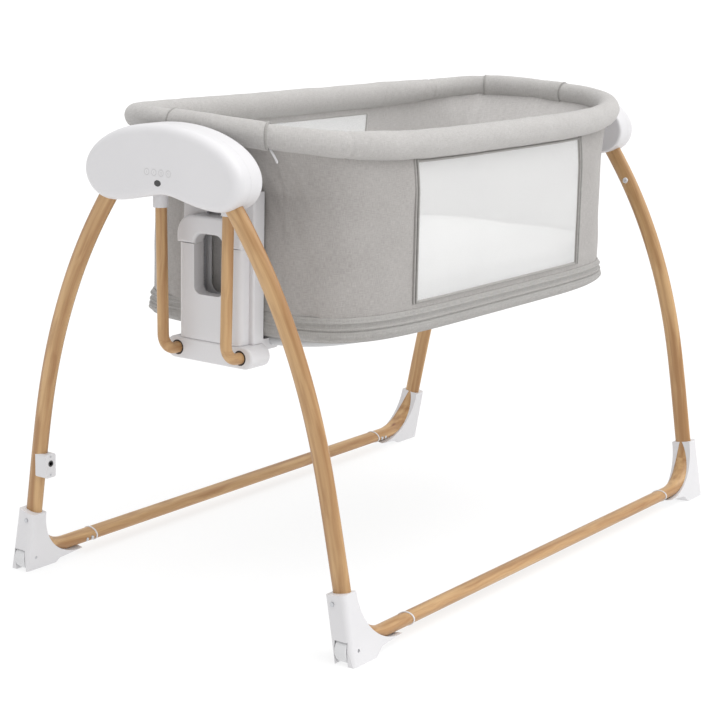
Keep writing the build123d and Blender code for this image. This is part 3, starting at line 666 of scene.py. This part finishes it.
def cloth_walls():
    """Wall cloth stretched between rim and base, with a window opening in each long side.

    Billow inwards = slow ripple + creases that fade up from the base band + grooves at the corner seams."""
    turn, along = wall_columns()
    rows = wall_rows()
    place, height = wall_shape(turn, rows)
    ring = oval(WALL_LENGTH, WALL_WIDTH, WALL_POWER, turn)
    normal = outward(ring)
    up = rows[:, None]
    slow = ripple(along[None, :], up, 8, 0.10, 0.30, 11)
    crease = ripple(along[None, :], up * 0.35, 10, 0.020, 0.055, 13)
    low_end = hump(up, WALL_LOW, 0.035)
    near_rim = hump(up, WALL_TOP, 0.045)
    end = np.clip((np.abs(ring[:, 0]) - 0.40) / 0.05, 0, 1)[None, :]
    push = -0.0011 * slow * (1 - low_end) + 0.0008 * crease * (low_end + near_rim) * (0.5 + end)
    folds = ripple(along[None, :] + up * 0.35, up * 0.1, 6, 0.016, 0.04, 17)
    push = push + 0.0010 * end * folds * step_up(up, 0.60, 0.05)
    for seam_turn in corner_seam_turns():
        gap = (along[None, :] - np.interp(seam_turn, turn, along))
        push = push - 0.0016 * hump(gap, 0, 0.0022) + 0.0007 * hump(gap, 0.006, 0.004)
    flat = window_share(ring, up)
    push = np.minimum(push * (1 - flat), 0.0014) - 0.0005
    points = np.concatenate([place + normal[None] * push[:, :, None], height[:, :, None]], axis=2)
    cloth = stacked(along[None, :], up)
    piece = grid_piece("wall_cloth", points, cloth, WALL_CLOTH)
    cut_windows(piece, rows, ring)
    wall = piece.modifiers.new("thickness", "SOLIDIFY")
    wall.thickness, wall.offset = CLOTH, -1.0
    piece.data.materials.append(LINING)
    wall.material_offset = 1
    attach(piece, "bassinet")
    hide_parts("fabric_walls")
    return piece


def corner_seam_turns():
    """Polar angles of the four upright seams beside the end brackets."""
    turns = []
    for end, side in ((1, 1), (-1, 1), (-1, -1), (1, -1)):
        across, along = side * CORNER_SEAM[1] / WALL_WIDTH, end * CORNER_SEAM[0] / WALL_LENGTH
        turns.append(math.atan2(across, along) % (2 * math.pi))
    return turns


def window_share(ring, up):
    """1 close to a window opening, where the cloth is held flat by its binding, and 0 away from it."""
    beside = np.maximum(ring[:, 0] - WINDOW_RIGHT, WINDOW_LEFT - ring[:, 0])[None, :]
    above = np.maximum(up - WINDOW_TOP, WINDOW_LOW - up)
    away = np.maximum(beside, above)
    on_side = (np.abs(ring[:, 1]) > 0.2)[None, :]
    return np.where(on_side, np.clip(1 - away / 0.02, 0, 1), 0.0)


def cut_windows(piece, rows, ring):
    """Removes the quads inside the two window openings."""
    tight = 1e-5
    inside_row = (rows[:-1] >= WINDOW_LOW - tight) & (rows[1:] <= WINDOW_TOP + tight)
    ahead = np.roll(ring, -1, axis=0)
    low_x, high_x = np.minimum(ring[:, 0], ahead[:, 0]), np.maximum(ring[:, 0], ahead[:, 0])
    inside_column = (low_x >= WINDOW_LEFT - tight) & (high_x <= WINDOW_RIGHT + tight)
    inside_column = inside_column & (np.abs(ring[:, 1]) > 0.2)
    gone = (inside_row[:, None] & inside_column[None, :]).ravel()
    shell = bmesh.new()
    shell.from_mesh(piece.data)
    shell.faces.ensure_lookup_table()
    doomed = [shell.faces[int(k)] for k in np.flatnonzero(gone)]
    bmesh.ops.delete(shell, geom=doomed, context="FACES")
    shell.to_mesh(piece.data)
    shell.free()


def side_point(x, up, side):
    """Point of the long wall's surface at x and height up, before its thickness."""
    y_low = WALL_WIDTH * (1 - np.abs(x / WALL_LENGTH) ** WALL_POWER) ** (1 / WALL_POWER)
    high = rim_partner(np.stack([x, y_low], -1))
    share = np.clip((up - SHOULDER) / (WALL_TOP - SHOULDER), 0, 1)
    blend = share ** FLARE
    top = rim_rise(high[..., 0], side * high[..., 1]) - TUCK
    height = np.where(up > SHOULDER, SHOULDER + share * (top - SHOULDER), up)
    across = (y_low * (1 - blend) + high[..., 1] * blend) * side
    return np.stack([x * (1 - blend) + high[..., 0] * blend, across, height], -1)


def net_windows():
    """Knit mesh panels, pulled flat inside each opening with a hair of sag."""
    for label, side in (("back", 1), ("front", -1)):
        x = np.linspace(WINDOW_LEFT - NET_MARGIN, WINDOW_RIGHT + NET_MARGIN, 90)[None, :]
        up = np.linspace(WINDOW_LOW - NET_MARGIN, WINDOW_TOP + NET_MARGIN, 44)[:, None]
        x, up = np.broadcast_arrays(x, up)
        place = side_point(x, up, side)
        sag = ripple(x, up, 6, 0.12, 0.35, 23) * 0.0005
        place[..., 1] -= side * (0.0014 + sag)
        cloth = np.stack([x - WINDOW_LEFT, up], -1)
        order = slice(None, None, -1) if side > 0 else slice(None)
        piece = grid_piece(f"window_net_{label}", place[:, order], cloth[:, order], KNIT, closed=False)
        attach(piece, "bassinet")
        if side > 0:
            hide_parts("mesh_windows")


def tube_run(name, path, radius, material, sides=12):
    """A round cord along path, closed at both ends: circles in the planes across the path."""
    ahead = np.gradient(path, axis=0)
    ahead /= np.linalg.norm(ahead, axis=1, keepdims=True)
    guide = np.where(np.abs(ahead[:, 2:3]) > 0.9, [[1.0, 0.0, 0.0]], [[0.0, 0.0, 1.0]])
    side = np.cross(ahead, guide)
    side /= np.linalg.norm(side, axis=1, keepdims=True)
    lift = np.cross(side, ahead)
    around = np.linspace(0, 2 * np.pi, sides + 1)[:, None, None]
    size = np.full(len(path), radius)
    size[[0, -1]] = 1e-6
    points = path[None] + (side[None] * np.cos(around) + lift[None] * np.sin(around)) * size[None, :, None]
    along = np.concatenate([[0], np.cumsum(np.linalg.norm(np.diff(path, axis=0), axis=1))])
    cloth = stacked(along[None, :], around[:, :, 0] * radius)
    piece = grid_piece(name, points[::-1], cloth, material, closed=False)
    merge_doubles(piece)
    return piece


def window_trim():
    """Binding round each window: a piped cord on the upright edges and a turned strip above and below."""
    for label, side in (("back", 1), ("front", -1)):
        lift = np.linspace(WINDOW_LOW - 0.006, WINDOW_TOP + 0.010, 60)
        for edge_name, edge, push in (("left", WINDOW_LEFT, -1), ("right", WINDOW_RIGHT, 1)):
            for number, step in ((1, 0.0035), (2, 0.0105)):
                run = side_point(np.full(60, edge + push * step), lift, side)
                run[:, 1] += side * 0.0007
                piece = tube_run(f"window_piping_{label}_{edge_name}_{number}", run, 0.0021, BINDING)
                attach(piece, "bassinet")
        for edge_name, level, push in (("low", WINDOW_LOW, -1), ("top", WINDOW_TOP, 1)):
            along = np.linspace(WINDOW_LEFT - 0.006, WINDOW_RIGHT + 0.006, 90)
            run = side_point(along, np.full(90, level + push * 0.0025), side)
            run[:, 1] += side * 0.0004
            piece = tube_run(f"window_hem_{label}_{edge_name}", run, 0.0016, BINDING)
            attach(piece, "bassinet")


# ---- base band ----

# From the tucked-under edge up to the wall: height, and how far it stands out from the wall.
BAND_PROFILE = (
    (0.4530, -0.0320), (0.4536, -0.0230), (0.4550, -0.0140), (0.4566, -0.0065), (0.4582, -0.0008),
    (0.4598, 0.0026), (0.4616, 0.0052), (0.4638, 0.0072), (0.4664, 0.0084), (0.4694, 0.0087),
    (0.4725, 0.0082), (0.4748, 0.0068), (0.4760, 0.0048), (0.4768, 0.0046), (0.4778, 0.0064),
    (0.4792, 0.0076), (0.4806, 0.0070), (0.4815, 0.0048), (0.4824, 0.0040), (0.4846, 0.0042),
    (0.4868, 0.0044), (0.4877, 0.0040), (0.4887, 0.0058), (0.4900, 0.0066), (0.4913, 0.0056),
    (0.4921, 0.0034), (0.4940, 0.0030), (0.4960, 0.0026), (0.4972, 0.0012), (0.4980, 0.0004),
)


def base_band():
    """Padded band round the foot of the walls: a piped profile carried round the wall ring.

    It stands out less at the end brackets, and gathers in short folds at the corners."""
    turn, along = even_turns(WALL_LENGTH, WALL_WIDTH, WALL_POWER, 620)
    ring = oval(WALL_LENGTH, WALL_WIDTH, WALL_POWER, turn)
    normal = outward(ring)
    profile = np.array(BAND_PROFILE)
    at_bracket = (1 - step_up(np.abs(ring[:, 1]), 0.125, 0.012)) * (np.abs(ring[:, 0]) > 0.4)
    stand = profile[:, 1:2] * np.where(profile[:, 1:2] > 0, 1 - 0.62 * at_bracket[None, :], 1.0)
    up = profile[:, 0:1]
    gather = ripple(along[None, :], up * 2.0, 10, 0.012, 0.035, 31)
    wave = ripple(along[None, :], up, 7, 0.09, 0.26, 33)
    near_corner = np.clip((np.abs(ring[:, 0]) - 0.36) / 0.08, 0, 1)
    near_corner = near_corner * np.clip((np.abs(ring[:, 1]) - 0.11) / 0.05, 0, 1)
    belly = hump(up, 0.4665, 0.0075)
    stand = stand + belly * (0.0006 * wave + (0.0004 + 0.0012 * near_corner) * gather)
    height = up + 0.0005 * wave * belly
    points = np.stack(
        [ring[:, 0] + normal[:, 0] * stand, ring[:, 1] + normal[:, 1] * stand, height], -1
    )
    climb = np.concatenate([[0], np.cumsum(np.linalg.norm(np.diff(profile, axis=0), axis=1))])
    cloth = stacked(along[None, :], climb[:, None])
    piece = grid_piece("base_band", points, cloth, BAND_CLOTH, double=BAND_CLOTH_THICK)
    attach(piece, "bassinet")
    return piece


# ---- mattress ----

def mattress_pad():
    """Mattress in a quilted cover: the pad's own shape, remeshed, inflated as cloth and shaded smooth."""
    source = frame["nodes"]["mattress"]
    mesh = source.data.copy()
    piece = bpy.data.objects.new("mattress_pad", mesh)
    bpy.context.scene.collection.objects.link(piece)
    mesh.materials.clear()
    mesh.materials.append(quilted_cover())
    low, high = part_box("mattress")
    middle = (low + high) / 2
    shrink = Matrix.Diagonal((0.985, 0.972, 0.90, 1.0))
    mesh.transform(Matrix.Translation(middle) @ shrink @ Matrix.Translation(-middle))
    merge_doubles(piece)
    bpy.context.view_layer.objects.active = piece
    remesh = piece.modifiers.new("even", "REMESH")
    remesh.mode = "VOXEL"
    remesh.voxel_size = MATTRESS_VOXEL
    apply_all(piece)
    inflate(piece, 4.0, MATTRESS_SWELL, 16)
    floor = float(low.z)
    points = points_of(piece.data)
    points[:, 2] = np.maximum(points[:, 2], floor)
    piece.data.vertices.foreach_set("co", points.astype(np.float32).ravel())
    piece.data.polygons.foreach_set("use_smooth", np.ones(len(piece.data.polygons), bool))
    piece.data.update()
    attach(piece, "bassinet")
    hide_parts("mattress")


def apply_all(piece):
    """Replaces the mesh with what its modifiers make of it."""
    graph = bpy.context.evaluated_depsgraph_get()
    made = bpy.data.meshes.new_from_object(piece.evaluated_get(graph))
    piece.modifiers.clear()
    piece.data = made


def inflate(piece, pressure, cap, frames):
    """Blows the piece up as cloth with no gravity, and keeps each point within cap of its start."""
    start = points_of(piece.data)
    cloth = piece.modifiers.new("cloth", "CLOTH")
    settings = cloth.settings
    settings.use_pressure = True
    settings.uniform_pressure_force = pressure
    settings.quality = 5
    settings.effector_weights.gravity = 0.0
    cloth.collision_settings.use_collision = False
    scene = bpy.context.scene
    for number in range(1, frames + 1):
        scene.frame_set(number)
    apply_all(piece)
    scene.frame_set(1)
    move = points_of(piece.data) - start
    length = np.linalg.norm(move, axis=1, keepdims=True)
    capped = start + move * np.minimum(1, cap / np.maximum(length, 1e-9))
    piece.data.vertices.foreach_set("co", capped.astype(np.float32).ravel())


# ---- small fittings ----

def snap_caps():
    """White caps over the leg bolts, on the inner face of each leg: a domed disc with a dark socket."""
    for end_name, end in (("motor", -1), ("far", 1)):
        for side_name, side in (("back", 1), ("front", -1)):
            across = side * leg_side(CAP_HEIGHT)
            out = LEG_PLANE + LEG_LEAN * CAP_HEIGHT - TUBE_THIN / 2 + 0.0002
            radius = np.array([1e-6, 0.0016, 0.0016, 0.0019, 0.0040, 0.0053, 0.0058, 0.0059])[:, None]
            stand = np.array([0.0006, 0.0006, 0.0018, 0.0021, 0.0022, 0.0017, 0.0009, -0.0012])[:, None]
            around = np.linspace(0, 2 * np.pi, 25)[None, :]
            points = np.stack(
                np.broadcast_arrays(
                    end * (out - stand),
                    across + radius * np.cos(around),
                    CAP_HEIGHT + radius * np.sin(around),
                ), -1,
            )
            if end < 0:
                points = points[::-1]
            cloth = stacked(around * 0.005, radius)
            piece = grid_piece(f"leg_cap_{end_name}_{side_name}", points, cloth, PLASTIC, closed=False)
            merge_doubles(piece)
            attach(piece, "stand")


def zip_pull():
    """Cord pull of the cover's zip, hanging under the motor end of the rim."""
    start = np.array([-0.5235, -0.1345, 0.7740])
    drop = np.linspace(0, 1, 14)[:, None]
    path = start + drop * np.array([0.006, -0.012, -0.024])
    path = path + np.sin(drop * 3.0) * np.array([-0.002, -0.003, 0])
    piece = tube_run("zip_pull", path, 0.0019, PLASTIC)
    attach(piece, "bassinet")


def cover_flap():
    """Flap of the cover folded under the rim at each end; the zip hangs below the motor end's."""
    turns = np.radians(np.linspace(171.0, 208.5, 70))
    ring = oval(RIM_LENGTH, RIM_WIDTH, RIM_POWER, turns)
    for label, spin in (("motor", 1), ("far", -1)):
        share = np.linspace(0, 1, 12)[:, None]
        fade = np.sin(np.linspace(0.08, np.pi - 0.08, 70))[None, :] ** 0.4
        angle = np.radians(-100 + 62 * share)
        radius = sleeve_radius(ring[:, 0])[None, :] + 0.0012 + 0.0022 * (1 - share) * fade
        points = round_rim(ring, run_outward(ring), radius, angle, spin)
        along = np.concatenate([[0], np.cumsum(np.linalg.norm(np.diff(ring, axis=0), axis=1))])
        cloth = stacked(along[None, :], share * FLAP_WIDE)
        piece = grid_piece(f"cover_flap_{label}", points, cloth, RIM_CLOTH, closed=False, double=FLAP_CLOTH)
        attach(piece, "bassinet")


rim_sleeve()
sleeve_edges()
cloth_walls()
net_windows()
window_trim()
base_band()
mattress_pad()
snap_caps()
zip_pull()
cover_flap()


# ---- studio ----

def floor_disc():
    """Wide pale floor: rings about the origin, out past the camera."""
    radius = np.array([1e-6, 1.0, 4.0, 30.0, 300.0])[::-1, None]
    around = np.linspace(0, 2 * np.pi, 97)[None, :]
    points = stacked(radius * np.cos(around), radius * np.sin(around), 0.0 * radius)
    finish = Finish("floor", (0.26, 0.26, 0.26), 0.9, specular_ior_level=0.1, emission_strength=0.74)
    grain = finish.noise(finish.place(), 3.0)
    finish.feed("Base Color", finish.mix(grain, (0.258, 0.258, 0.258), (0.262, 0.262, 0.262)))
    cloth = stacked(around, radius)
    piece = grid_piece("floor", points, cloth, finish.material, closed=False)


def studio_light():
    """White room light, one broad soft sun from above the front side and one from the ceiling."""
    world = bpy.data.worlds.new("studio")
    bpy.context.scene.world = world
    world.use_nodes = True
    background = world.node_tree.nodes["Background"]
    background.inputs["Color"].default_value = (1.0, 1.0, 1.0, 1.0)
    background.inputs["Strength"].default_value = 0.70
    for name, energy, spread, turn in (("key", 1.3, 60, (38, 12, 0)), ("ceiling", 1.1, 80, (0, 0, 0))):
        sun = bpy.data.lights.new(name, "SUN")
        sun.energy = energy
        sun.angle = math.radians(spread)
        lamp = bpy.data.objects.new(name, sun)
        lamp.rotation_euler = [math.radians(value) for value in turn]
        bpy.context.scene.collection.objects.link(lamp)
    bpy.context.scene.view_settings.view_transform = "Standard"


CAMERA_PLACE = (-2.77171, -1.93566, 1.08425)
CAMERA_HEADING, CAMERA_DROP, CAMERA_ROLL = 0.946579, 0.220204, 0.020864
CAMERA_LENS = 36.0 * 1854.914 / 720.0


def camera():
    """Camera by its place, its heading from +Y towards +X, its downward angle and its roll."""
    a, d, r = CAMERA_HEADING, CAMERA_DROP, CAMERA_ROLL
    ahead = np.array([math.cos(d) * math.sin(a), math.cos(d) * math.cos(a), -math.sin(d)])
    right = np.array([math.cos(a), -math.sin(a), 0.0])
    up = np.cross(right, ahead)
    turned_right = math.cos(r) * right + math.sin(r) * up
    turned_up = -math.sin(r) * right + math.cos(r) * up
    lens = bpy.data.cameras.new("camera")
    lens.lens, lens.sensor_width = CAMERA_LENS, 36.0
    lens.clip_end = 1000.0
    eye = bpy.data.objects.new("camera", lens)
    place = np.eye(4)
    place[:3, 0], place[:3, 1], place[:3, 2], place[:3, 3] = turned_right, turned_up, -ahead, CAMERA_PLACE
    eye.matrix_world = Matrix(place.tolist())
    bpy.context.scene.collection.objects.link(eye)
    bpy.context.scene.camera = eye


floor_disc()
studio_light()
camera()
